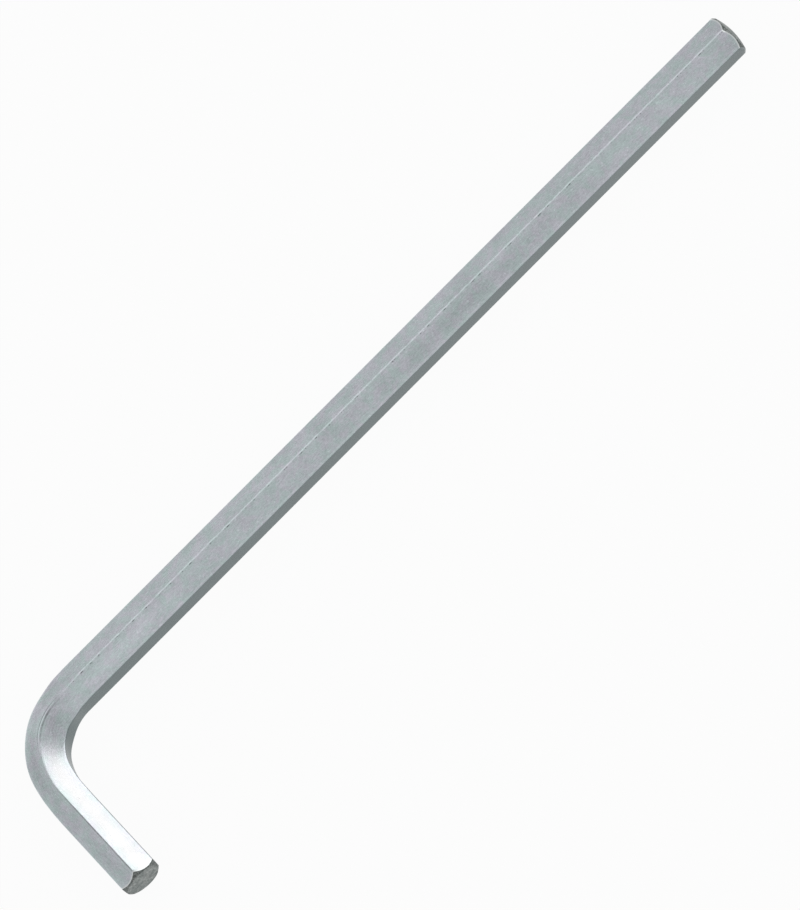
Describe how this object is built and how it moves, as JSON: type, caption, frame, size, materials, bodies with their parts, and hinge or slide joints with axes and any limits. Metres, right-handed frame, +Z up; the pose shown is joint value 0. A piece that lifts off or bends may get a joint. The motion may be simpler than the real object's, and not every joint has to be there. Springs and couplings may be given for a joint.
{
  "type": "hex key",
  "caption": "Long-arm hexagonal key bent to a right angle, plated steel, with turned tips, for driving socket-head screws with either end.",
  "frame": {"origin": "under the middle of the bounding box, on the surface the key lies on", "axes": "+X along the long arm towards its tip, -Y along the short arm towards its tip, +Z up from the surface"},
  "size_m": [0.2396, 0.0504, 0.0114],
  "materials": {
    "plated_steel": "satin nickel plating over drawn steel, lightly mottled and scratched"
  },
  "bodies": {
    "root": {"hex_key": "plated_steel"}
  },
  "joints": []
}
